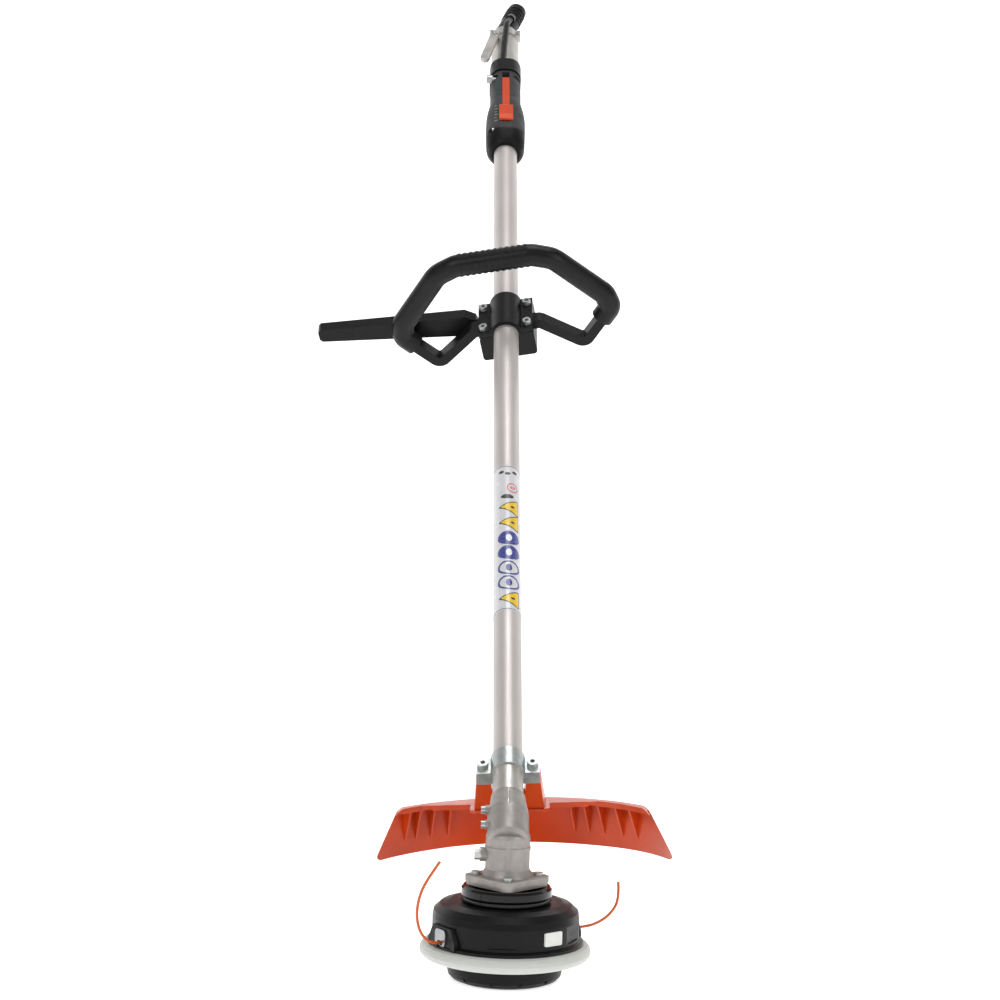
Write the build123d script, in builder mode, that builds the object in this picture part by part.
"""String trimmer with a split boom: mowing head, angle gearbox, deflector, loop handle and control handle.

Row frame: millimetres, +Z up along the spindle, origin at the centre of the bump knob's ground face.
The drive tube leaves the gearbox towards +Y and rises at TUBE_ANGLE. Positions along it are written as
s, the distance from the point where its axis crosses the spindle; "up" is square to it, on its upper side.
"""

import os
from math import atan, cos, degrees, pi, radians, sin, tan

from build123d import *

os.makedirs("parts", exist_ok=True)

# ---- driving dimensions -------------------------------------------------------------------------------
TUBE_ANGLE = 35.0  # slope of the drive tube above the ground
CROSSING_HEIGHT = 135.0  # where the tube's axis crosses the spindle
TUBE_RADIUS = 14.0
TUBE_WALL = 1.5
TUBE_START = 34.0
TUBE_END = 1396.0
FIT = 0.05  # running clearance on a radius
SEAT = 0.02  # clearance of a pressed or clamped seat

SHAFT_RADIUS = 4.0
SPINDLE_RADIUS = 7.5
ARBOR_RADIUS = 6.0

GEAR_TEETH = 21
PINION_TEETH = 15
CONE_DISTANCE = 17.25
TOOTH_LENGTH = 7.0
ADDENDUM = 1.15
DEDENDUM = 1.6
TOOTH_SHARE = 0.40  # of the pitch, at the pitch line
PRESSURE_ANGLE = 20.0

KNOB_RADIUS = 53.3
KNOB_HEIGHT = 19.0
RING_RADIUS = 79.5
RING_LOW = 20.7
RING_HIGH = 35.2
HOUSING_RADIUS = 68.0
HOUSING_TOP = 73.0
HOUSING_WALL = 3.0
EYELET_ANGLE = 212.0  # about +Z, from +X
WINDOW_ANGLE = -52.0
EYELET_HEIGHT = 40.6
LINE_DIAMETER = 2.7

GUARD_RADIUS = 42.0
GUARD_LOW = 73.1
FLANGE_LOW = 91.5
FLANGE_HIGH = 97.0
COVER_LOW = 88.0
FLANGE_BOLT_CIRCLE = 29.0
GEARBOX_RADIUS = 20.5
GEARBOX_TOP = 138.0
NECK_RADIUS = 19.3
NECK_SHOULDER = 24.0  # s where the neck starts to taper
NECK_END = 46.0

DEFLECTOR_RADIUS = 161.0
DEFLECTOR_WALL = 2.6
SKIRT_LOW = 97.0
DEFLECTOR_TURN = 4.0  # how far round the tube the deflector's clamp is set
CLAMP_START = 78.5
CLAMP_WIDTH = 21.0
BOLT_SIDE = 23.5

HANDLE_S = 810.0  # middle of the loop handle's clamp
HANDLE_TURN = 12.0  # how far round the tube the loop handle is set
CLAMP_LENGTH = 58.0
LINER_RADIUS = 15.4
CLAMP_RADIUS = 18.6
GRIP_RADIUS = 12.6

CONTROL_END = 1338.0
COUPLING_START = 1338.4
COUPLING_RADIUS = 17.5

LABEL_START = 297.0
LABEL_LENGTH = 231.0

# ---- the tube's own directions ------------------------------------------------------------------------
ALONG = Vector(0, cos(radians(TUBE_ANGLE)), sin(radians(TUBE_ANGLE)))
UP = Vector(0, -sin(radians(TUBE_ANGLE)), cos(radians(TUBE_ANGLE)))
RIGHT = Vector(1, 0, 0)
APEX = Vector(0, 0, CROSSING_HEIGHT)
TUBE_AXIS = Axis(APEX, ALONG)


def tube_point(s, x=0.0, up=0.0):
    """The point at s along the tube's axis, x to the right and up square to it."""
    return APEX + ALONG * s + RIGHT * x + UP * up


def across(s):
    """The plane square to the tube at s: local X to the left, local Y up, local Z along the tube."""
    return Plane(origin=tube_point(s), x_dir=(-1, 0, 0), z_dir=ALONG)


def beside(x=0.0):
    """The upright plane along the tube: local X runs up the tube from the crossing, local Y is up."""
    return Plane(origin=APEX + RIGHT * x, x_dir=ALONG, z_dir=RIGHT)


def above(up=0.0):
    """The plane along the tube seen from its upper side: local X to the right, local Y up the tube."""
    return Plane(origin=APEX + UP * up, x_dir=RIGHT, z_dir=UP)


def spindle_meridian(angle=0.0):
    """The upright plane through the spindle: local X is the radius at that angle, local Y is the height."""
    turn = radians(angle)
    return Plane(origin=(0, 0, 0), x_dir=(cos(turn), sin(turn), 0), z_dir=(sin(turn), -cos(turn), 0))


def radial_plane(angle, radius, height):
    """The plane square to a radius of the head: local X is tangential, local Y is up, Z points outwards."""
    turn = radians(angle)
    outward = Vector(cos(turn), sin(turn), 0)
    return Plane(origin=outward * radius + Vector(0, 0, height), x_dir=(-sin(turn), cos(turn), 0),
        z_dir=outward)


def save(builder, name, turn=0.0):
    """Writes a finished sub-part, turned round the tube where its clamp is set off centre."""
    part = builder.part.rotate(TUBE_AXIS, turn) if turn else builder.part
    part.label = name
    export_step(part, f"parts/{name}.step")


def outline(*points):
    """A closed face from straight runs, inside the active sketch."""
    Polygon(*points, align=None)


def pipe(s_start, length, outer, inner=0.0):
    """A round sleeve on the tube's axis, inside the active part."""
    with BuildSketch(across(s_start)) as ring:
        Circle(outer)
        if inner:
            Circle(inner, mode=Mode.SUBTRACT)
    extrude(ring.sketch, amount=length)


# ---- drive tube and what it carries -------------------------------------------------------------------
with BuildPart() as drive_tube:
    pipe(TUBE_START, TUBE_END - TUBE_START, TUBE_RADIUS, TUBE_RADIUS - TUBE_WALL)
save(drive_tube, "drive_tube")

BUSH_PLACES = (150.0, 470.0, 790.0, 1110.0, 1360.0)
BUSH_LENGTH = 24.0
with BuildPart() as shaft_bushes:
    for place in BUSH_PLACES:
        pipe(place, BUSH_LENGTH, TUBE_RADIUS - TUBE_WALL - SEAT, SHAFT_RADIUS + FIT)
save(shaft_bushes, "shaft_bushes")

SLEEVE_THICKNESS = 0.5
with BuildPart() as tube_sleeve:
    pipe(NECK_END + 0.2, CLAMP_START - NECK_END - 0.4, TUBE_RADIUS + SLEEVE_THICKNESS, TUBE_RADIUS + SEAT)
save(tube_sleeve, "tube_sleeve")

LABEL_THICKNESS = 0.2
with BuildPart() as info_label:
    pipe(LABEL_START, LABEL_LENGTH, TUBE_RADIUS + SEAT + LABEL_THICKNESS, TUBE_RADIUS + SEAT)
save(info_label, "info_label")

# ---- bevel gears --------------------------------------------------------------------------------------
SHAFT_ANGLE = radians(90 + TUBE_ANGLE)
GEAR_RATIO = GEAR_TEETH / PINION_TEETH
GEAR_CONE = atan(sin(SHAFT_ANGLE) / (1 / GEAR_RATIO + cos(SHAFT_ANGLE)))
PINION_CONE = SHAFT_ANGLE - GEAR_CONE
DOWN = Vector(0, 0, -1)
BACK = Vector(0, 1, 0)


def bevel_tooth(cone_dir, contact_dir, cone_angle, teeth):
    """One straight tooth on the contact side; its flanks run to the apex."""
    element = cone_dir * cos(cone_angle) + contact_dir * sin(cone_angle)
    normal = contact_dir * cos(cone_angle) - cone_dir * sin(cone_angle)
    pitch = 2 * pi * CONE_DISTANCE * sin(cone_angle) / teeth
    half = TOOTH_SHARE * pitch / 2
    flank = tan(radians(PRESSURE_ANGLE))
    sunk = DEDENDUM + 0.4
    with BuildPart() as tooth:
        for distance in (CONE_DISTANCE, CONE_DISTANCE - TOOTH_LENGTH):
            scale = distance / CONE_DISTANCE
            with BuildSketch(Plane(origin=APEX + element * distance, x_dir=normal, z_dir=element)):
                outline(
                    (-sunk * scale, -(half + sunk * flank) * scale),
                    (-sunk * scale, (half + sunk * flank) * scale),
                    (ADDENDUM * scale, (half - ADDENDUM * flank) * scale),
                    (ADDENDUM * scale, -(half - ADDENDUM * flank) * scale),
                )
        loft()
    return tooth.part


def root_point(cone_angle, distance):
    """Where the root cone passes: (radius, distance along the axis) at that cone distance."""
    depth = DEDENDUM * distance / CONE_DISTANCE
    radius = distance * sin(cone_angle) - depth * cos(cone_angle)
    along = distance * cos(cone_angle) + depth * sin(cone_angle)
    return radius, along


def bevel_gear(cone_dir, contact_dir, cone_angle, teeth, bore, back, phase):
    """A bevel gear with its apex where the axes cross; phase is the first tooth's angle in pitches."""
    inner = root_point(cone_angle, CONE_DISTANCE - TOOTH_LENGTH)
    outer = root_point(cone_angle, CONE_DISTANCE)
    axis = Axis(APEX, cone_dir)
    tooth = bevel_tooth(cone_dir, contact_dir, cone_angle, teeth)
    with BuildPart() as gear:
        with BuildSketch(Plane(origin=APEX, x_dir=contact_dir, z_dir=contact_dir.cross(cone_dir))):
            outline((bore, inner[1]), inner, outer, (outer[0], back), (bore, back))
        revolve(axis=axis)
        for index in range(teeth):
            add(tooth.rotate(axis, (index + phase) * 360 / teeth))
    return gear


GEAR_BACK = 10.0
PINION_BACK = 16.5
output_gear = bevel_gear(DOWN, BACK, GEAR_CONE, GEAR_TEETH, SPINDLE_RADIUS + SEAT, GEAR_BACK, 0.5)
save(output_gear, "output_gear")
bevel_pinion = bevel_gear(ALONG, UP * -1, PINION_CONE, PINION_TEETH, SHAFT_RADIUS + SEAT,
    PINION_BACK, 0.0)
save(bevel_pinion, "bevel_pinion")

# ---- bearings: the races and balls that stand still, and the inner races that turn ----------------------
BALL_COUNT = 9


def standing_races(planes, outer, race, ball, pitch, width):
    """Outer races with their balls, one bearing on each plane."""
    with BuildPart() as races:
        for plane in planes:
            with BuildSketch(plane):
                Circle(outer - SEAT)
                Circle(outer - race, mode=Mode.SUBTRACT)
            extrude(amount=width)
            with Locations(plane.offset(width / 2)):
                with PolarLocations(pitch, BALL_COUNT):
                    Sphere(ball)
    return races


def turning_races(planes, inner, race, width):
    """Inner races, one bearing on each plane."""
    with BuildPart() as races:
        for plane in planes:
            with BuildSketch(plane):
                Circle(inner + race)
                Circle(inner + SEAT, mode=Mode.SUBTRACT)
            extrude(amount=width)
    return races


OUTPUT_BEARING_WIDTH = 11.0
OUTPUT_BEARING_OUTER = 17.5
output_planes = [Plane.XY.offset(99.0), Plane.XY.offset(111.5)]
save(standing_races(output_planes, OUTPUT_BEARING_OUTER, 2.7, 2.1, 12.5, OUTPUT_BEARING_WIDTH),
    "output_bearing_outers")
save(turning_races(output_planes, SPINDLE_RADIUS, 2.7, OUTPUT_BEARING_WIDTH), "output_bearing_inners")
PINION_BEARING_WIDTH = 8.0
pinion_planes = [across(17.0), across(25.5)]
save(standing_races(pinion_planes, TUBE_RADIUS, 2.4, 1.4, 9.9, PINION_BEARING_WIDTH),
    "pinion_bearing_outers")
save(turning_races(pinion_planes, SHAFT_RADIUS, 4.3, PINION_BEARING_WIDTH), "pinion_bearing_inners")

# ---- gearbox ------------------------------------------------------------------------------------------
PLUG_HEIGHT = 116.0
PLUG_RADIUS = 4.0
NECK_SCREW_S = (27.0, 8.0)
RIB_WIDTH = 4.5


def diamond_plate(low, high, corner):
    """The four-cornered flange, corners to the front, back and sides, inside the active part."""
    with BuildSketch(Plane.XY.offset(low)) as plate:
        RectangleRounded(corner, corner, 9.0, rotation=45)
    extrude(plate.sketch, amount=high - low)


with BuildPart() as gearbox_housing:
    with BuildSketch(Plane.XY.offset(FLANGE_HIGH - 0.5)):
        Circle(GEARBOX_RADIUS)
    extrude(amount=GEARBOX_TOP - FLANGE_HIGH + 0.5)
    fillet(gearbox_housing.edges().group_by(Axis.Z)[-1], 5.0)
    with BuildSketch(Plane.XZ):
        outline(
            (0, FLANGE_HIGH - 1), (24.3, FLANGE_HIGH - 1), (23.6, FLANGE_HIGH + 1.5),
            (GEARBOX_RADIUS - 0.2, 104.0),
            (0, 104.0),
        )
    revolve(axis=Axis.Z)
    with BuildSketch(Plane.XZ):
        outline((0, 121.5), (GEARBOX_RADIUS + 0.7, 121.5), (GEARBOX_RADIUS + 0.7, 124.5), (0, 124.5))
    revolve(axis=Axis.Z)
    with BuildSketch(Plane.XY.offset(FLANGE_HIGH)):
        with Locations((0, -GEARBOX_RADIUS + 2.0)):
            Rectangle(RIB_WIDTH, 5.2)
    extrude(amount=36.0)
    with BuildSketch(beside()):
        outline(
            (-12.0, 0), (-12.0, NECK_RADIUS - 3), (-9.0, NECK_RADIUS), (NECK_SHOULDER, NECK_RADIUS),
            (NECK_END - 5, TUBE_RADIUS + 2.6), (NECK_END, TUBE_RADIUS + 2.2), (NECK_END, 0),
        )
    revolve(axis=TUBE_AXIS)
    diamond_plate(FLANGE_LOW, FLANGE_HIGH, 60.0)
    with BuildSketch(Plane.YZ.offset(-GEARBOX_RADIUS - 4.0)):
        with Locations((0, PLUG_HEIGHT)):
            Circle(6.5)
    extrude(amount=8.0)
    with Locations(*[Plane(origin=tube_point(s, -NECK_RADIUS + 3.0, 4.0), z_dir=(-1, 0,
            0)) for s in NECK_SCREW_S]):
        Cylinder(4.6, 5.0, align=(Align.CENTER, Align.CENTER, Align.MIN))
    # cavities: bearing bore, gear chamber, pinion bore, plug hole, screw holes and the neck's clamping slit
    with BuildSketch(Plane.XZ):
        outline(
            (0, FLANGE_LOW - 1), (OUTPUT_BEARING_OUTER, FLANGE_LOW - 1),
            (OUTPUT_BEARING_OUTER, 123.0), (18.6, 123.0),
            (18.6, 134.3), (16.0, 135.5), (0, 135.5),
        )
    revolve(axis=Axis.Z, mode=Mode.SUBTRACT)
    with BuildSketch(beside()):
        outline((-2.0, 0), (-2.0, 10.0), (2.0, TUBE_RADIUS), (NECK_END + 1, TUBE_RADIUS),
            (NECK_END + 1, 0))
    revolve(axis=TUBE_AXIS, mode=Mode.SUBTRACT)
    with BuildSketch(Plane.YZ.offset(-GEARBOX_RADIUS - 5.0)):
        with Locations((0, PLUG_HEIGHT)):
            Circle(PLUG_RADIUS)
    extrude(amount=12.0, mode=Mode.SUBTRACT)
    with BuildSketch(Plane.XY.offset(FLANGE_LOW)):
        with PolarLocations(FLANGE_BOLT_CIRCLE, 4):
            Circle(2.6)
    extrude(amount=FLANGE_HIGH - FLANGE_LOW + 8.0, mode=Mode.SUBTRACT)
    with BuildSketch(above(TUBE_RADIUS - 1)):
        with Locations((0, NECK_END - 12.0)):
            Rectangle(1.2, 26.0)
    extrude(amount=8.0, mode=Mode.SUBTRACT)
save(gearbox_housing, "gearbox_housing")

with BuildPart() as flange_screws:
    with Locations((0, 0, FLANGE_HIGH)):
        with PolarLocations(FLANGE_BOLT_CIRCLE, 4):
            Cylinder(4.3, 3.2, align=(Align.CENTER, Align.CENTER, Align.MIN))
            Cylinder(2.58, 8.6, align=(Align.CENTER, Align.CENTER, Align.MAX))
save(flange_screws, "flange_screws")

with BuildPart() as bearing_cover:
    diamond_plate(COVER_LOW, FLANGE_LOW - 0.02, 58.0)
    with BuildSketch(Plane.XY.offset(COVER_LOW)):
        Circle(12.0)
        with PolarLocations(FLANGE_BOLT_CIRCLE, 4):
            Circle(2.6)
    extrude(amount=FLANGE_LOW - COVER_LOW, mode=Mode.SUBTRACT)
save(bearing_cover, "bearing_cover")

with BuildPart() as output_seal:
    with BuildSketch(Plane.XY.offset(COVER_LOW + 0.2)):
        Circle(12.0 - SEAT)
        Circle(SPINDLE_RADIUS + 0.03, mode=Mode.SUBTRACT)
    extrude(amount=3.0)
save(output_seal, "output_seal")

with BuildPart() as grease_plug:
    with Locations(Plane(origin=(-GEARBOX_RADIUS - 4.02 - 1.2, 0, PLUG_HEIGHT), z_dir=(-1, 0, 0))):
        Cylinder(PLUG_RADIUS - SEAT, 7.5, align=(Align.CENTER, Align.CENTER, Align.MAX))
    with BuildSketch(Plane(origin=(-GEARBOX_RADIUS - 5.22, 0, PLUG_HEIGHT), z_dir=(-1, 0, 0))):
        RegularPolygon(5.4, 6)
    extrude(amount=5.0)
save(grease_plug, "grease_plug")

with BuildPart() as plug_washer:
    with BuildSketch(Plane(origin=(-GEARBOX_RADIUS - 4.02, 0, PLUG_HEIGHT), z_dir=(-1, 0, 0))):
        Circle(6.6)
        Circle(PLUG_RADIUS, mode=Mode.SUBTRACT)
    extrude(amount=1.2)
save(plug_washer, "plug_washer")

with BuildPart() as neck_screws:
    for s in NECK_SCREW_S:
        with Locations(Plane(origin=tube_point(s, -NECK_RADIUS - 2.02, 4.0), z_dir=(-1, 0, 0))):
            Cylinder(3.6, 4.0, align=(Align.CENTER, Align.CENTER, Align.MIN))
            Cylinder(1.6, 5.0, mode=Mode.SUBTRACT)
save(neck_screws, "neck_screws")

# ---- shafts -------------------------------------------------------------------------------------------
ARBOR_LOW = 34.0
SHAFT_TOP = 132.3
with BuildPart() as output_shaft:
    with BuildSketch(Plane.XZ):
        outline(
            (0, ARBOR_LOW), (ARBOR_RADIUS - 1, ARBOR_LOW), (ARBOR_RADIUS, ARBOR_LOW + 1),
            (ARBOR_RADIUS, GUARD_LOW),
            (SPINDLE_RADIUS, GUARD_LOW), (SPINDLE_RADIUS, 95.8), (9.6, 95.8), (9.6, 98.96),
            (SPINDLE_RADIUS, 98.96),
            (SPINDLE_RADIUS, SHAFT_TOP), (0, SHAFT_TOP),
        )
    revolve(axis=Axis.Z)
save(output_shaft, "output_shaft")

GEAR_FACE = CROSSING_HEIGHT - GEAR_BACK
with BuildPart() as gear_spacer:
    with BuildSketch(Plane.XY.offset(122.54)):
        Circle(9.6)
        Circle(SPINDLE_RADIUS + SEAT, mode=Mode.SUBTRACT)
    extrude(amount=GEAR_FACE - 0.04 - 122.54)
save(gear_spacer, "gear_spacer")

SHAFT_LOW_S = 10.0
SHAFT_HIGH_S = 1400.0
DOG_END = 1420.0
with BuildPart() as drive_shaft:
    pipe(SHAFT_LOW_S, SHAFT_HIGH_S - SHAFT_LOW_S, SHAFT_RADIUS)
    pipe(SHAFT_HIGH_S - 1, DOG_END - SHAFT_HIGH_S + 1, 7.5)
    with BuildSketch(across(DOG_END - 15)):
        Rectangle(6.0, 6.0)
    extrude(amount=16, mode=Mode.SUBTRACT)
save(drive_shaft, "drive_shaft")

# ---- mowing head --------------------------------------------------------------------------------------
with BuildPart() as wrap_guard:
    with BuildSketch(Plane.XZ):
        outline(
            (SPINDLE_RADIUS + SEAT, GUARD_LOW), (GUARD_RADIUS - 2, GUARD_LOW),
            (GUARD_RADIUS, GUARD_LOW + 1.5),
            (GUARD_RADIUS, GUARD_LOW + 4.5), (GUARD_RADIUS - 1.6, GUARD_LOW + 5.4),
            (GUARD_RADIUS, GUARD_LOW + 6.6),
            (GUARD_RADIUS, GUARD_LOW + 12.6), (GUARD_RADIUS - 2, GUARD_LOW + 14.6),
            (GUARD_RADIUS - 6, GUARD_LOW + 14.6),
            (GUARD_RADIUS - 8, GUARD_LOW + 5.0), (14.0, GUARD_LOW + 5.0), (12.0, GUARD_LOW + 13.5),
            (SPINDLE_RADIUS + SEAT, GUARD_LOW + 13.5),
        )
    revolve(axis=Axis.Z)
save(wrap_guard, "wrap_guard")

INNER_RADIUS = HOUSING_RADIUS - HOUSING_WALL
EYELET_ANGLES = (EYELET_ANGLE, EYELET_ANGLE - 180.0)
PANEL_ANGLES = (EYELET_ANGLE + 55, EYELET_ANGLE + 125, EYELET_ANGLE - 55, EYELET_ANGLE - 125)
with BuildPart() as head_housing:
    with BuildSketch(Plane.XZ):
        outline(
            (ARBOR_RADIUS + SEAT, HOUSING_TOP), (52.0, HOUSING_TOP), (61.0, HOUSING_TOP - 2.5),
            (HOUSING_RADIUS - 1.0, HOUSING_TOP - 8.0), (HOUSING_RADIUS, HOUSING_TOP - 14.0),
            (HOUSING_RADIUS, 39.5), (72.0, 37.6), (72.0, 35.6), (HOUSING_RADIUS, 35.6),
            (HOUSING_RADIUS, 24.3),
            (INNER_RADIUS, 24.3), (INNER_RADIUS, HOUSING_TOP - 14.5),
            (INNER_RADIUS - 2.0, HOUSING_TOP - 9.0),
            (59.0, HOUSING_TOP - 5.5), (51.0, HOUSING_TOP - 3.2), (16.0, HOUSING_TOP - 3.2), (16.0, 64.0),
            (11.3, 64.0), (11.3, 70.6), (ARBOR_RADIUS + SEAT, 70.6),
        )
    revolve(axis=Axis.Z)
    for angle in EYELET_ANGLES:
        with BuildSketch(radial_plane(angle, INNER_RADIUS + 0.5, 0)):
            outline((-22.0, 35.7), (22.0, 35.7), (22.0, 42.0), (15.0, 55.5), (-15.0, 55.5), (-22.0, 42.0))
        extrude(amount=HOUSING_RADIUS - INNER_RADIUS + 1.6)
    for angle in PANEL_ANGLES:
        with BuildSketch(radial_plane(angle, HOUSING_RADIUS - 1.8, 0)):
            outline((-21.0, 42.0), (21.0, 42.0), (15.0, 58.0), (-15.0, 58.0))
        extrude(amount=6.0, mode=Mode.SUBTRACT)
    for angle in EYELET_ANGLES:
        with BuildSketch(radial_plane(angle, INNER_RADIUS - 3, EYELET_HEIGHT)):
            SlotOverall(12.0, 8.0)
        extrude(amount=12.0, mode=Mode.SUBTRACT)
    with BuildSketch(radial_plane(WINDOW_ANGLE, INNER_RADIUS - 3, 50.0)):
        RectangleRounded(20.0, 12.6, 1.5)
    extrude(amount=10.0, mode=Mode.SUBTRACT)
save(head_housing, "head_housing")

with BuildPart() as arbor_nut:
    with BuildSketch(Plane.XY.offset(64.2)):
        RegularPolygon(11.2, 6)
        Circle(ARBOR_RADIUS + SEAT, mode=Mode.SUBTRACT)
    extrude(amount=6.3)
save(arbor_nut, "arbor_nut")

with BuildPart() as eyelets:
    for angle in EYELET_ANGLES:
        with BuildSketch(radial_plane(angle, HOUSING_RADIUS + 2.12, EYELET_HEIGHT)):
            with Locations((0, 5.4)):
                RectangleRounded(17.0, 14.4, 4.0)
            SlotOverall(9.0, 4.6, mode=Mode.SUBTRACT)
        extrude(amount=1.6)
        with BuildSketch(radial_plane(angle, INNER_RADIUS - 0.5, EYELET_HEIGHT)):
            SlotOverall(11.96, 7.96)
            SlotOverall(9.0, 4.6, mode=Mode.SUBTRACT)
        extrude(amount=HOUSING_RADIUS - INNER_RADIUS + 2.7)
save(eyelets, "eyelets")

with BuildPart() as spool_window:
    with BuildSketch(radial_plane(WINDOW_ANGLE, INNER_RADIUS - 0.5, 50.0)):
        RectangleRounded(19.9, 12.5, 1.5)
    extrude(amount=4.6)
save(spool_window, "spool_window")

KNOB_HOLE = 54.4
with BuildPart() as head_cap:
    with BuildSketch(Plane.XZ):
        outline(
            (KNOB_HOLE, RING_LOW + 0.6), (66.0, RING_LOW + 0.3), (72.0, RING_LOW), (76.5, RING_LOW + 1.6),
            (78.7, RING_LOW + 4.2), (RING_RADIUS, RING_LOW + 7.3), (78.7, RING_LOW + 10.4),
            (76.5, RING_LOW + 13.0),
            (73.0, RING_HIGH - 0.2), (HOUSING_RADIUS + SEAT, RING_HIGH - 0.2),
            (HOUSING_RADIUS + SEAT, 24.2),
            (KNOB_HOLE, 24.2),
        )
    revolve(axis=Axis.Z)
save(head_cap, "head_cap")

SPOOL_RADIUS = 61.0
DRUM_RADIUS = 30.0
with BuildPart() as spool:
    with BuildSketch(Plane.XZ):
        outline(
            (ARBOR_RADIUS + FIT, 32.0), (ARBOR_RADIUS + FIT, 40.0), (14.0, 40.0), (14.0, 56.5),
            (SPOOL_RADIUS, 56.5),
            (SPOOL_RADIUS, 54.0), (DRUM_RADIUS, 54.0), (DRUM_RADIUS, 27.2), (SPOOL_RADIUS, 27.2),
            (SPOOL_RADIUS, 24.8),
            (20.0, 24.8), (20.0, 32.0),
        )
    revolve(axis=Axis.Z)
save(spool, "spool")

with BuildPart() as wound_line:
    with BuildSketch(Plane.XZ):
        outline((DRUM_RADIUS + 0.1, 27.4), (54.0, 27.4), (54.0, 53.8), (DRUM_RADIUS + 0.1, 53.8))
    revolve(axis=Axis.Z)
save(wound_line, "wound_line")

with BuildPart() as bump_knob:
    with BuildSketch(Plane.XZ):
        outline(
            (0, 0), (44.0, 0), (49.5, 2.2), (52.4, 5.6), (KNOB_RADIUS, 9.5), (KNOB_RADIUS, KNOB_HEIGHT),
            (51.0, KNOB_HEIGHT + 1.2), (51.0, 24.78), (19.9, 24.78), (19.9, 31.9),
            (ARBOR_RADIUS + 0.5, 31.9),
            (ARBOR_RADIUS + 0.5, 25.0), (0, 25.0),
        )
    revolve(axis=Axis.Z)
    for index in range(12):
        with BuildSketch(radial_plane(index * 30 + 15, KNOB_RADIUS - 2.4, 0)):
            outline((-2.5, -1.0), (2.5, -1.0), (1.8, 7.0), (-1.8, 7.0))
        extrude(amount=5.0, mode=Mode.SUBTRACT)
save(bump_knob, "bump_knob")

CUP_LOW = 40.04
with BuildPart() as spring_cup:
    with BuildSketch(Plane.XZ):
        outline(
            (ARBOR_RADIUS + FIT, CUP_LOW), (13.4, CUP_LOW), (13.4, CUP_LOW + 4.0), (12.4, CUP_LOW + 4.0),
            (12.4, CUP_LOW + 1.6), (ARBOR_RADIUS + FIT, CUP_LOW + 1.6),
        )
    revolve(axis=Axis.Z)
save(spring_cup, "spring_cup")

SPRING_LOW = CUP_LOW + 1.65
SPRING_HIGH = 63.95
SPRING_WIRE = 0.9
SPRING_COIL = 9.6
with BuildPart() as bump_spring:
    with BuildLine(Plane.XY.offset(SPRING_LOW + SPRING_WIRE)):
        coil = Helix(pitch=(SPRING_HIGH - SPRING_LOW - 2 * SPRING_WIRE) / 5,
            height=SPRING_HIGH - SPRING_LOW
                     - 2 * SPRING_WIRE, radius=SPRING_COIL)
    with BuildSketch(Plane(origin=coil @ 0, z_dir=coil % 0)):
        Circle(SPRING_WIRE)
    sweep(is_frenet=True)
save(bump_spring, "bump_spring")



# ---- the two free ends of cutting line: straight runs joined by tangent arcs ----------------------------
LEFT_LINE = [
    (-55.5, -34.7, 40.6), (-68.7, -42.9, 40.4), (-79.0, -51.0, 52.0), (-83.0, -56.0, 70.0),
    (-80.0, -59.0, 90.0),
    (-72.0, -60.0, 106.0), (-62.5, -60.0, 120.0),
]
RIGHT_LINE = [
    (55.5, 34.7, 40.6), (70.0, 43.8, 39.6), (86.0, 53.0, 41.0), (100.0, 58.0, 49.5), (108.5, 60.0, 63.5),
    (107.0, 60.5, 80.5),
]


def corner_radii(points):
    """The radius at each corner: 0.45 of its shorter run over the tangent of half its turn."""
    places = [Vector(*point) for point in points]
    radii = []
    for before, corner, after in zip(places, places[1:], places[2:]):
        arriving = corner - before
        leaving = after - corner
        turn = radians(arriving.get_angle(leaving))
        radii.append(0.45 * min(arriving.length, leaving.length) / tan(turn / 2))
    return radii


def round_cord(points, diameter, radii=None):
    """A round cord along straight runs joined by arcs."""
    radii = radii or corner_radii(points)
    with BuildPart() as cord:
        with BuildLine() as route:
            FilletPolyline(*points, radius=radii)
        start = Vector(*points[0])
        with BuildSketch(Plane(origin=start, z_dir=Vector(*points[1]) - start)):
            Circle(diameter / 2)
        sweep(path=route.wires()[0])
    length = route.wires()[0].length
    print("cord", round(length, 1), "radii", [round(radius, 1) for radius in radii],
          "volume ratio", round(cord.part.volume / (pi * diameter ** 2 / 4 * length), 4))
    return cord


line_left = round_cord(LEFT_LINE, LINE_DIAMETER)
save(line_left, "line_left")
line_right = round_cord(RIGHT_LINE, LINE_DIAMETER)
save(line_right, "line_right")

# ---- deflector and its clamp, modelled square to the tube and then turned round it ----------------------
ROOF_LOW = 139.0
ROOF_HIGH = 142.0
ROOF_FRONT = 120.0
TOWER_TOP = -13.0  # above the tube's axis
TOWER_FOOT = 60.0  # below the tube's axis
with BuildPart() as towers:
    with BuildSketch(Plane(origin=tube_point(CLAMP_START + CLAMP_WIDTH / 2, 0, TOWER_TOP),
            x_dir=RIGHT, z_dir=UP * -1)):
        with Locations((-BOLT_SIDE, 0), (BOLT_SIDE, 0)):
            Rectangle(14.0, CLAMP_WIDTH - 1)
    extrude(amount=TOWER_FOOT + TOWER_TOP, taper=-5)
    with Locations((0, 90, ROOF_LOW + 0.5)):
        Box(120, 120, 60, align=(Align.CENTER, Align.CENTER, Align.MAX), mode=Mode.SUBTRACT)
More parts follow.
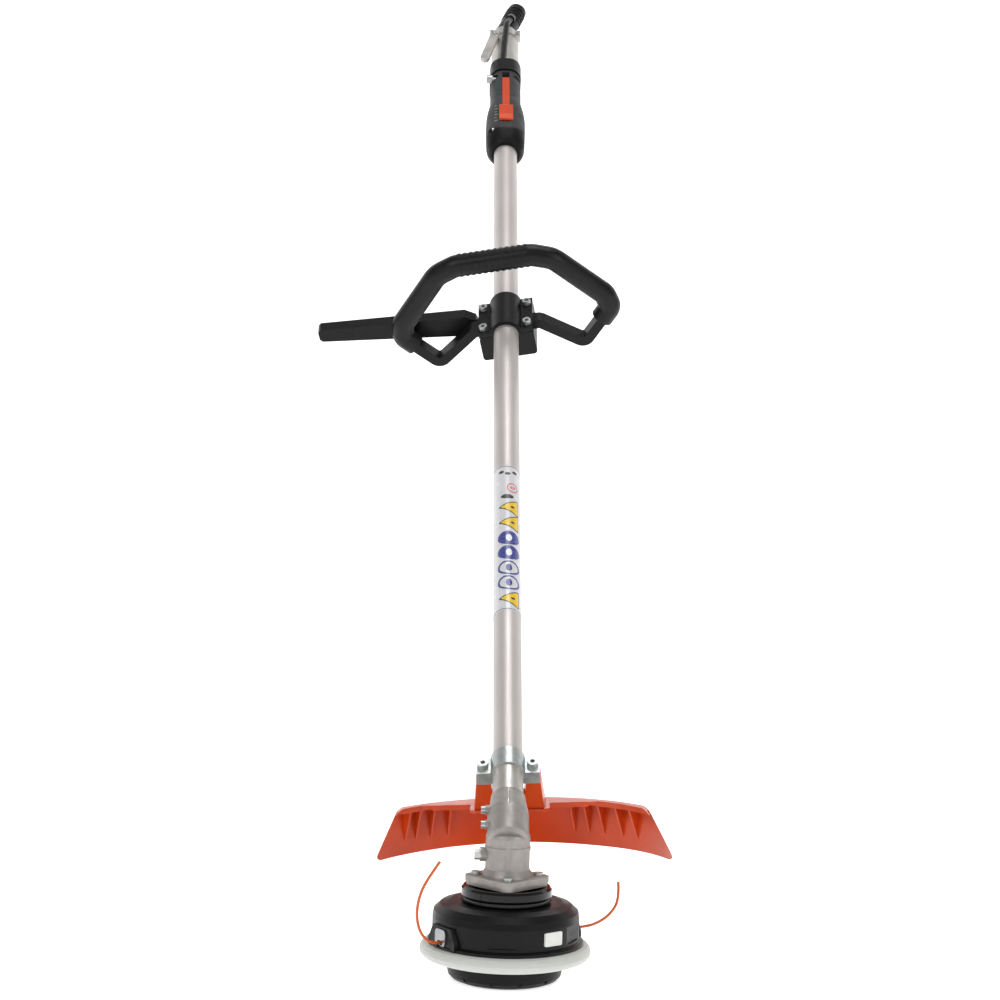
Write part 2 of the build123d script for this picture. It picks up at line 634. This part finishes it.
# Round the spindle from straight back
GUSSET_ANGLES = (-39.5, -35.0, -29.0, -22.5, 22.5, 28.0, 34.0, 42.0, 49.0)
BAND_RADIUS = 147.0
LIP_LOW = 137.0
EDGE_ROUND = 8.0  # of the blade's outer top edge
with BuildPart() as deflector:
    with BuildSketch(Plane.XZ):
        with BuildLine():
            FilletPolyline(
                (DEFLECTOR_RADIUS, SKIRT_LOW - 8), (DEFLECTOR_RADIUS + DEFLECTOR_WALL, SKIRT_LOW - 8),
                (DEFLECTOR_RADIUS + DEFLECTOR_WALL, ROOF_HIGH), (BAND_RADIUS, ROOF_HIGH),
                (BAND_RADIUS, LIP_LOW),
                (BAND_RADIUS + 3.0, LIP_LOW), (BAND_RADIUS + 3.0, ROOF_LOW), (DEFLECTOR_RADIUS, ROOF_LOW),
                radius=(0.5, 0.5, EDGE_ROUND, 0.5, 0.5, 0.5, 0.5, EDGE_ROUND - DEFLECTOR_WALL),
                    close=True)
        make_face()
    revolve(axis=Axis.Z)
    with BuildSketch(Plane.XZ):
        with BuildLine():
            FilletPolyline(
                (-131.0, 93.5), (-60.0, 95.5), (10.0, SKIRT_LOW - 0.5), (80.0, 95.5), (155.0, 95.5),
                (130.0, ROOF_HIGH + 0.5), (-107.0, ROOF_HIGH + 0.5),
                radius=(4.0, 300.0, 900.0, 300.0, 4.0, 14.0, 14.0), close=True)
        make_face()
    extrude(amount=-200, mode=Mode.INTERSECT)
    with BuildSketch(Plane.XY.offset(ROOF_LOW)):
        Circle(DEFLECTOR_RADIUS + DEFLECTOR_WALL - EDGE_ROUND)
        with Locations((0, ROOF_FRONT - 200)):
            Rectangle(400, 400, mode=Mode.SUBTRACT)
    extrude(amount=ROOF_HIGH - ROOF_LOW)
    with BuildSketch(Plane.XY.offset(LIP_LOW)):
        with Locations((0, ROOF_FRONT + 1.5)):
            Rectangle(150, 3.0)
    extrude(amount=ROOF_HIGH - LIP_LOW - 1)
    for angle in GUSSET_ANGLES:
        with BuildSketch(spindle_meridian(90 - angle)):
            outline((DEFLECTOR_RADIUS + 1, ROOF_LOW - 2), (DEFLECTOR_RADIUS + 1, 108.0),
                (DEFLECTOR_RADIUS - 0.5, 108.0),
                    (BAND_RADIUS + 2, ROOF_LOW + 1), (BAND_RADIUS + 6, ROOF_LOW + 1))
        extrude(amount=1.0, both=True)
    with BuildSketch(Plane.XY.offset(ROOF_LOW)):
        outline((-38.0, ROOF_FRONT + 2), (-38.0, 92.0), (-32.0, 86.0), (32.0, 86.0), (38.0, 92.0),
            (38.0, ROOF_FRONT + 2))
    extrude(amount=ROOF_HIGH - ROOF_LOW)
    add(towers.part)
    with BuildSketch(Plane.YZ.offset(-26.0)):
        outline((96.0, ROOF_HIGH - 1), (112.0, ROOF_HIGH - 1), (101.0, 160.0), (97.0, 160.0))
    extrude(amount=52.0)
    with BuildSketch(above(TOWER_TOP + 1)) as holes:
        with Locations((-BOLT_SIDE, CLAMP_START + CLAMP_WIDTH / 2), (BOLT_SIDE,
                CLAMP_START + CLAMP_WIDTH / 2)):
            Circle(3.0)
    extrude(holes.sketch, amount=-25.0, mode=Mode.SUBTRACT)
save(deflector, "deflector", -DEFLECTOR_TURN)

CLAMP_MIDDLE = CLAMP_START + CLAMP_WIDTH / 2


def clamp_half(low, high, reach, thickness):
    """Half of a two-screw clamp round the tube: ears from low to high, an arch of the given thickness."""
    side = 1 if high > 0 else -1
    with BuildPart() as half:
        with BuildSketch(across(CLAMP_START)):
            Circle(TUBE_RADIUS + thickness)
            with Locations((0, (low + high) / 2)):
                Rectangle(2 * reach, high - low)
            Circle(TUBE_RADIUS + SEAT, mode=Mode.SUBTRACT)
            edge = low if side > 0 else high
            with Locations((0, edge - side * 30)):
                Rectangle(120, 60, mode=Mode.SUBTRACT)
        extrude(amount=CLAMP_WIDTH)
        with BuildSketch(above(low - 1)):
            with Locations((-BOLT_SIDE, CLAMP_MIDDLE), (BOLT_SIDE, CLAMP_MIDDLE)):
                Circle(3.0)
        extrude(amount=high - low + 2, mode=Mode.SUBTRACT)
    return half


clamp_band = clamp_half(-1.0, 1.6, 30.0, 2.4)
save(clamp_band, "clamp_band", -DEFLECTOR_TURN)
clamp_saddle = clamp_half(TOWER_TOP + 0.02, -1.1, 30.0, 2.4)
save(clamp_saddle, "clamp_saddle", -DEFLECTOR_TURN)
with BuildPart() as clamp_bolts:
    for side in (-1, 1):
        with Locations(Plane(origin=tube_point(CLAMP_MIDDLE, side * BOLT_SIDE, 1.62), x_dir=RIGHT,
                z_dir=UP)):
            Cylinder(5.3, 5.0, align=(Align.CENTER, Align.CENTER, Align.MIN))
            Cylinder(2.4, 6.0, align=(Align.CENTER, Align.CENTER, Align.MIN), mode=Mode.SUBTRACT)
            Cylinder(2.98, 36.0, align=(Align.CENTER, Align.CENTER, Align.MAX))
save(clamp_bolts, "clamp_bolts", -DEFLECTOR_TURN)

# ---- loop handle, modelled square to the tube and then turned round it ----------------------------------
STRUT = 11.5
FRAME_DEPTH = 15.0
EAR_SIDE = 25.0
CLAMP_LOW_S = HANDLE_S - CLAMP_LENGTH / 2
LOOP_HALF = [(38.0, -7.2), (84.0, -43.5), (119.5, -2.0), (115.5, 16.0), (66.0, 74.0), (43.0, 83.0)]
LOOP_RADII = [7.0, 8.0, 12.0, 14.0, 26.0, 26.0]


def mirrored(points):
    """The whole loop's route from its right half, left end first."""
    return [(-x, y) for x, y in points] + [(x, y) for x, y in reversed(points)]


loop_route = [(-20.0, -7.2)] + mirrored(LOOP_HALF) + [(20.0, -7.2)]
loop_radii = LOOP_RADII + list(reversed(LOOP_RADII))


def loop_bar(width, depth):
    """The loop's bar of the given width, centred on the clamp's middle."""
    with BuildPart() as bar:
        with BuildSketch(across(HANDLE_S - depth / 2)):
            with BuildLine() as route:
                FilletPolyline(*loop_route, radius=loop_radii)
            trace(route.edges(), line_width=width)
        extrude(amount=depth)
    return bar.part


loop_solid = loop_bar(STRUT, FRAME_DEPTH)
with BuildPart() as handle_loop:
    add(loop_solid)
    with BuildSketch(across(HANDLE_S - FRAME_DEPTH / 2)) as ears:
        for side in (-1, 1):
            with Locations((side * 26.0, -7.0)):
                Rectangle(15.0, 12.0)
    extrude(ears.sketch, amount=FRAME_DEPTH)
save(handle_loop, "handle_loop", -HANDLE_TURN)

grip_core = loop_bar(STRUT + 2 * SEAT, FRAME_DEPTH + 2 * SEAT)
GRIP_HALF = [(107.8, -15.7), *LOOP_HALF[2:]]
grip_route = mirrored(GRIP_HALF)
grip_radii = LOOP_RADII[2:] + list(reversed(LOOP_RADII[2:]))
RIB_COUNT = 14
RIB_PITCH = 6.8
with BuildPart() as loop_grip:
    with BuildLine(across(HANDLE_S)) as grip_line:
        FilletPolyline(*grip_route, radius=grip_radii)
    with BuildSketch(Plane(origin=grip_line.line @ 0, z_dir=grip_line.line % 0)):
        Circle(GRIP_RADIUS)
    sweep(path=grip_line.wires()[0])
    for index in range(RIB_COUNT):
        x = (index - (RIB_COUNT - 1) / 2) * RIB_PITCH
        with Locations(Plane(origin=tube_point(HANDLE_S, x, LOOP_HALF[-1][1]), z_dir=RIGHT)):
            if abs(x) < 40:
                Cylinder(GRIP_RADIUS + 0.7, 3.2)
    add(grip_core, mode=Mode.SUBTRACT)
save(loop_grip, "loop_grip", -HANDLE_TURN)

with BuildPart() as grip_liner:
    pipe(CLAMP_LOW_S, CLAMP_LENGTH, LINER_RADIUS, TUBE_RADIUS + FIT)
save(grip_liner, "grip_liner", -HANDLE_TURN)

SCREW_S = (HANDLE_S - 19.0, HANDLE_S + 19.0)
with BuildPart() as upper_clamp:
    with BuildSketch(across(CLAMP_LOW_S)):
        Circle(CLAMP_RADIUS)
        with Locations((0, 2.5)):
            Rectangle(62.0, 5.0)
        Circle(LINER_RADIUS + SEAT, mode=Mode.SUBTRACT)
        with Locations((0, -50)):
            Rectangle(120, 100, mode=Mode.SUBTRACT)
    extrude(amount=CLAMP_LENGTH)
    with BuildSketch(above(-1)):
        with Locations(*[(side * EAR_SIDE, s) for s in SCREW_S for side in (-1, 1)]):
            Circle(2.6)
    extrude(amount=8, mode=Mode.SUBTRACT)
save(upper_clamp, "upper_clamp", -HANDLE_TURN)

with BuildPart() as lower_clamp:
    with BuildSketch(across(CLAMP_LOW_S)):
        with Locations((0, -16.0)):
            RectangleRounded(62.0, 31.0, 4.0)
        Circle(LINER_RADIUS + SEAT, mode=Mode.SUBTRACT)
        with Locations((0, 49.98)):
            Rectangle(120, 100, mode=Mode.SUBTRACT)
    extrude(amount=CLAMP_LENGTH)
    with BuildSketch(across(HANDLE_S - FRAME_DEPTH / 2 - SEAT)):
        for side in (-1, 1):
            with Locations((side * 31.0, -7.0)):
                Rectangle(25.04, 12.04)
    extrude(amount=FRAME_DEPTH + 2 * SEAT, mode=Mode.SUBTRACT)
    with BuildSketch(above(0)):
        with Locations(*[(side * EAR_SIDE, s) for s in SCREW_S for side in (-1, 1)]):
            Circle(2.6)
    extrude(amount=-24, mode=Mode.SUBTRACT)
    with BuildSketch(across(HANDLE_S + 14)):
        with Locations((24.0, -20.0)):
            Rectangle(20.0, 14.04)
    extrude(amount=16, mode=Mode.SUBTRACT)
save(lower_clamp, "lower_clamp", -HANDLE_TURN)

with BuildPart() as loop_screws:
    for s in SCREW_S:
        for side in (-1, 1):
            with Locations(Plane(origin=tube_point(s, side * EAR_SIDE, 5.02), x_dir=RIGHT, z_dir=UP)):
                Cylinder(4.6, 4.8, align=(Align.CENTER, Align.CENTER, Align.MIN))
                Cylinder(2.2, 5.6, align=(Align.CENTER, Align.CENTER, Align.MIN), mode=Mode.SUBTRACT)
                Cylinder(2.58, 20.0 if s < HANDLE_S else 17.0, align=(Align.CENTER, Align.CENTER,
                    Align.MAX))
save(loop_screws, "loop_screws", -HANDLE_TURN)

BAR_TIP = 217.0
with BuildPart() as barrier_bar:
    with BuildSketch(across(HANDLE_S + 14.02)):
        outline((14.2, -26.98), (30.0, -26.98), (BAR_TIP - 3, -4.0), (BAR_TIP, -1.0), (BAR_TIP, 9.0),
                (BAR_TIP - 3, 12.0), (48.0, 2.0), (36.0, -6.0), (34.0, -13.02), (14.2, -13.02))
    extrude(amount=14.9)
    with BuildSketch(across(HANDLE_S + 24.0)):
        outline((48.0, -19.0), (BAR_TIP - 8, -1.0), (BAR_TIP - 8, 7.6), (52.0, -2.0))
    extrude(amount=6.0, mode=Mode.SUBTRACT)
save(barrier_bar, "barrier_bar", -HANDLE_TURN)

# ---- control handle: two shells, rear collar, trigger, lockout and slide control -----------------------
HANDLE_SECTIONS = [  # s, width, height, corner radius
    (1155.0, 35.0, 37.0, 17.0),
    (1163.0, 43.5, 46.0, 19.0),
    (1176.0, 47.0, 52.5, 20.0),
    (1198.0, 48.0, 54.0, 20.0),
    (1226.0, 46.0, 52.5, 18.0),
    (1252.0, 37.5, 49.0, 15.0),
]
MIDDLE_UP = 0.5  # the handle's centre line above the tube's axis
COLLAR_START = 1312.0
TRIGGER_PIVOT = (1199.0, -20.0)
LOCKOUT_PIVOT = (1306.0, -20.0)
PIN_RADIUS = 2.0
LEVER_WIDTH = 12.0
CHANNEL_FLOOR = 18.6
SLIDE_WIDTH = 8.9
SHELL_SCREWS = [(1178.0, 19.3), (1180.0, -20.5), (1264.0, -20.0)]
SIDE_SCREW = (1301.0, 18.0)
SIDE_SCREW_FACE = 17.0
CABLE_DIAMETER = 8.0
CABLE_UP = 21.8


def handle_section(width, height, corner):
    """One rounded section of the control handle, inside the active sketch."""
    with Locations((0, MIDDLE_UP)):
        RectangleRounded(width, height, corner)


def side_shape(points, half_width, mode):
    """A block with the given side view, as wide each way from the middle, inside the active part."""
    with BuildSketch(beside(-half_width)) as view:
        Polygon(*points, align=None)
    extrude(view.sketch, amount=2 * half_width, mode=mode)


def cross_hole(place, radius, start, length):
    """A round hole along X through the handle, inside the active part."""
    with BuildSketch(beside(start)) as hole:
        with Locations(place):
            Circle(radius)
    extrude(hole.sketch, amount=length, mode=Mode.SUBTRACT)


cable_route = [tube_point(1320.0, -5.0, CABLE_UP), tube_point(1434.0, 1.5, CABLE_UP),
    tube_point(1464.0, 8.0, 12.8)]
CABLE_ENTRY = Plane(origin=cable_route[0], z_dir=cable_route[1] - cable_route[0])
cable_sleeve = round_cord([tuple(point) for point in cable_route], CABLE_DIAMETER, [40.0])
save(cable_sleeve, "cable_sleeve")

with BuildPart() as handle_body:
    for s, width, height, corner in HANDLE_SECTIONS:
        with BuildSketch(across(s)):
            handle_section(width, height, corner)
    loft()
    with BuildSketch(across(HANDLE_SECTIONS[-1][0] - 0.5)):
        handle_section(37.5, 49.0, 15.0)
    extrude(amount=COLLAR_START - HANDLE_SECTIONS[-1][0] + 0.5)
    with BuildSketch(across(COLLAR_START - 1)):
        handle_section(34.0, 45.5, 13.5)
    extrude(amount=CONTROL_END - COLLAR_START + 1)
    with BuildSketch(beside(-SIDE_SCREW_FACE)) as boss:
        with Locations(SIDE_SCREW):
            Circle(5.8)
    extrude(boss.sketch, amount=6.0)
    # tube bore, slide channel, lever pockets, screw and pin holes, cable entry
    with BuildSketch(across(1140.0)):
        Circle(TUBE_RADIUS + SEAT)
    extrude(amount=220.0, mode=Mode.SUBTRACT)
    side_shape([(1188, CHANNEL_FLOOR), (1309, CHANNEL_FLOOR), (1309, 40), (1188, 40)],
        SLIDE_WIDTH / 2 + FIT,
               Mode.SUBTRACT)
    side_shape([(1192, -15.3), (1261, -15.3), (1261, -40), (1192, -40)], LEVER_WIDTH / 2 + 0.2,
        Mode.SUBTRACT)
    side_shape([(1267, -15.3), (1311.5, -15.3), (1311.5, -40), (1267, -40)], LEVER_WIDTH / 2 + 0.2,
        Mode.SUBTRACT)
    for place in SHELL_SCREWS:
        cross_hole(place, PIN_RADIUS, -40, 56)
        cross_hole(place, 4.2, -40, 26)
    for place in (TRIGGER_PIVOT, LOCKOUT_PIVOT):
        cross_hole(place, PIN_RADIUS, -15, 30)
    cross_hole(SIDE_SCREW, 2.5, -40, 33)
    cross_hole(SIDE_SCREW, 5.8, -40, 40 - SIDE_SCREW_FACE)
    with BuildSketch(CABLE_ENTRY):
        Circle(CABLE_DIAMETER / 2 + SEAT)
    extrude(amount=30, mode=Mode.SUBTRACT)
SPLIT_GAP = 0.02
for name, keep, side in (("handle_shell_right", Keep.TOP, 1), ("handle_shell_left", Keep.BOTTOM, -1)):
    with BuildPart() as shell:
        add(handle_body.part)
        split(bisect_by=Plane.YZ.offset(side * SPLIT_GAP / 2), keep=keep)
    save(shell, name)

with BuildPart() as handle_collar:
    with BuildSketch(across(COLLAR_START + 0.02)):
        handle_section(39.0, 54.0, 16.0)
        with Locations((0, MIDDLE_UP)):
            RectangleRounded(34.04, 45.54, 13.5, mode=Mode.SUBTRACT)
    extrude(amount=CONTROL_END - COLLAR_START - 0.02)
    with BuildSketch(CABLE_ENTRY):
        Circle(CABLE_DIAMETER / 2 + SEAT)
    extrude(amount=30, mode=Mode.SUBTRACT)
save(handle_collar, "handle_collar")

with BuildPart() as shell_screws:
    for s, up in SHELL_SCREWS:
        with Locations(Plane(origin=tube_point(s, -14.0, up), x_dir=ALONG, z_dir=(-1, 0, 0))):
            Cylinder(3.9, 3.0, align=(Align.CENTER, Align.CENTER, Align.MIN))
            Cylinder(PIN_RADIUS - SEAT, 29.0, align=(Align.CENTER, Align.CENTER, Align.MAX))
save(shell_screws, "shell_screws")

with BuildPart() as side_screw:
    with Locations(Plane(origin=tube_point(SIDE_SCREW[0], -SIDE_SCREW_FACE - SEAT, SIDE_SCREW[1]),
            x_dir=ALONG,
                         z_dir=(-1, 0, 0))):
        Cylinder(5.3, 7.0, align=(Align.CENTER, Align.CENTER, Align.MIN))
        Cylinder(2.48, 9.0, align=(Align.CENTER, Align.CENTER, Align.MAX))
        Cylinder(2.4, 8.0, align=(Align.CENTER, Align.CENTER, Align.MIN), mode=Mode.SUBTRACT)
save(side_screw, "side_screw")

with BuildPart() as lever_pins:
    for s, up in (TRIGGER_PIVOT, LOCKOUT_PIVOT):
        with Locations(Plane(origin=tube_point(s, 0, up), x_dir=ALONG, z_dir=(-1, 0, 0))):
            Cylinder(PIN_RADIUS - SEAT, 29.0)
save(lever_pins, "lever_pins")


def pivoted_lever(points, pivot):
    """A finger lever with a round hub on its pin."""
    with BuildPart() as lever:
        with BuildSketch(beside(-LEVER_WIDTH / 2)):
            Polygon(*points, align=None)
            with Locations(pivot):
                Circle(3.8)
                Circle(PIN_RADIUS + FIT, mode=Mode.SUBTRACT)
        extrude(amount=LEVER_WIDTH)
    return lever


throttle_trigger = pivoted_lever(
    [(1196, -18), (1202, -17), (1256, -26.5), (1259, -29), (1258, -36), (1253, -38.5), (1240, -37),
    (1220, -31.5),
     (1208, -28), (1198, -24.5)], TRIGGER_PIVOT)
save(throttle_trigger, "throttle_trigger")
trigger_lockout = pivoted_lever(
    [(1309, -18), (1303, -17), (1271, -23.5), (1268.5, -26), (1269, -30), (1273, -32.5),
    (1284, -31), (1299, -26.5),
     (1307, -24)], LOCKOUT_PIVOT)
save(trigger_lockout, "trigger_lockout")

with BuildPart() as slide_control:
    side_shape([(1193, 19), (1293, 19), (1293, 26.4), (1222, 26.4), (1222, 28.2), (1193, 28.2)],
        SLIDE_WIDTH / 2, Mode.ADD)
    side_shape([(1190, 28), (1223, 28), (1223, 30), (1216, 33.4), (1197, 33.4), (1190, 30.5)], 8.5,
        Mode.ADD)
save(slide_control, "slide_control")

# ---- split coupling, latch and the boot that takes the flexible drive ------------------------------------
LATCH_PIVOT = (-13.6, 1408.0)
LATCH_REACH = 68.0
LATCH_LOW = 17.8
LATCH_HIGH = 22.3
LATCH_LEAN = 12.0
COUPLING_END = 1442.0
BORE_RADIUS = 9.0
with BuildPart() as coupling_sleeve:
    with BuildSketch(beside()):
        outline(
            (COUPLING_START, TUBE_RADIUS + SEAT), (COUPLING_START, COUPLING_RADIUS),
            (1413.0, COUPLING_RADIUS),
            (1423.0, 13.0), (COUPLING_END, 13.0), (COUPLING_END, BORE_RADIUS),
            (TUBE_END + 1, BORE_RADIUS),
            (TUBE_END + 1, TUBE_RADIUS + SEAT),
        )
    revolve(axis=TUBE_AXIS)
    with BuildSketch(above(8.0)):
        with Locations(LATCH_PIVOT):
            Circle(4.6)
    extrude(amount=LATCH_LOW - 0.1 - 8.0)
    with BuildSketch(above(10.0)):
        with Locations(LATCH_PIVOT):
            Circle(1.8)
    extrude(amount=10.0, mode=Mode.SUBTRACT)
save(coupling_sleeve, "coupling_sleeve")

COLLAR_LOW = 1424.5
COLLAR_WIDTH = 15.0
with BuildPart() as coupling_collar:
    pipe(COLLAR_LOW, COLLAR_WIDTH, 15.6, 13.0 + SEAT)
    with BuildSketch(across(COLLAR_LOW)) as lugs:
        with Locations((16.2, 4.0), (-16.2, 4.0)):
            Rectangle(7.0, 9.0)
    extrude(lugs.sketch, amount=COLLAR_WIDTH)
    with BuildSketch(across(COLLAR_LOW)) as bore:
        Circle(13.0 + SEAT)
    extrude(bore.sketch, amount=COLLAR_WIDTH, mode=Mode.SUBTRACT)
save(coupling_collar, "coupling_collar")

with BuildPart() as collar_screws:
    for x in (-16.9, 16.9):
        with Locations(Plane(origin=tube_point(COLLAR_LOW + COLLAR_WIDTH / 2, x, 8.52), x_dir=RIGHT,
                z_dir=UP)):
            Cylinder(2.8, 2.6, align=(Align.CENTER, Align.CENTER, Align.MIN))
            Cylinder(1.3, 3.0, align=(Align.CENTER, Align.CENTER, Align.MIN), mode=Mode.SUBTRACT)
save(collar_screws, "collar_screws")

lean = radians(LATCH_LEAN)
latch_direction = RIGHT * -sin(lean) + ALONG * -cos(lean)
latch_origin = tube_point(LATCH_PIVOT[1], LATCH_PIVOT[0], LATCH_LOW)
with BuildPart() as latch_lever:
    with BuildSketch(Plane(origin=latch_origin, x_dir=latch_direction, z_dir=UP)):
        outline((-4.0, -4.6), (10.0, -5.4), (LATCH_REACH - 6, -5.6), (LATCH_REACH - 1, -3.6),
            (LATCH_REACH, 0),
                (LATCH_REACH - 1, 3.6), (LATCH_REACH - 6, 5.6), (10.0, 5.4), (-4.0, 4.6))
        Circle(5.2)
        Circle(1.8 + FIT, mode=Mode.SUBTRACT)
    extrude(amount=LATCH_HIGH - LATCH_LOW)
save(latch_lever, "latch_lever")

with BuildPart() as latch_pin:
    with Locations(Plane(origin=tube_point(LATCH_PIVOT[1], LATCH_PIVOT[0], LATCH_HIGH + 0.06),
            x_dir=RIGHT, z_dir=UP)):
        Cylinder(3.4, 1.8, align=(Align.CENTER, Align.CENTER, Align.MIN))
        Cylinder(1.78, 12.0, align=(Align.CENTER, Align.CENTER, Align.MAX))
save(latch_pin, "latch_pin")

BOOT_LEAN = radians(16.0)
BOOT_BEND = 1447.0
BOOT_RADIUS = 12.0
BOOT_LENGTH = 58.0
SOCKET_RADIUS = 7.5
boot_direction = ALONG * cos(BOOT_LEAN) + RIGHT * sin(BOOT_LEAN)
boot_origin = tube_point(BOOT_BEND)
cable_end = cable_route[2]
cable_run = (cable_route[2] - cable_route[1]).normalized()
with BuildPart() as hose_boot:
    pipe(COUPLING_END + 0.02, BOOT_BEND - COUPLING_END + 1, 12.9)
    boot_plane = Plane(origin=boot_origin, x_dir=UP, z_dir=boot_direction)
    with BuildSketch(boot_plane):
        Circle(BOOT_RADIUS)
    extrude(amount=BOOT_LENGTH)
    for distance in (26.0, 33.0, 40.0, 47.0):
        with BuildSketch(boot_plane.offset(distance)):
            Circle(BOOT_RADIUS + 0.8)
        extrude(amount=2.0)
    port_plane = Plane(origin=cable_end, x_dir=RIGHT, z_dir=cable_run)
    with BuildSketch(port_plane.offset(-9.0)):
        Circle(CABLE_DIAMETER / 2 + 1.8)
    extrude(amount=10.0)
    with BuildSketch(port_plane.offset(0.05)):
        Circle(CABLE_DIAMETER / 2 + FIT)
    extrude(amount=-14.0, mode=Mode.SUBTRACT)
    with BuildSketch(boot_plane):
        Circle(SOCKET_RADIUS)
    extrude(amount=60.0, mode=Mode.SUBTRACT)
    with BuildSketch(across(COUPLING_END - 1)):
        Circle(SOCKET_RADIUS)
    extrude(amount=BOOT_BEND - COUPLING_END + 3, mode=Mode.SUBTRACT)
save(hose_boot, "hose_boot")
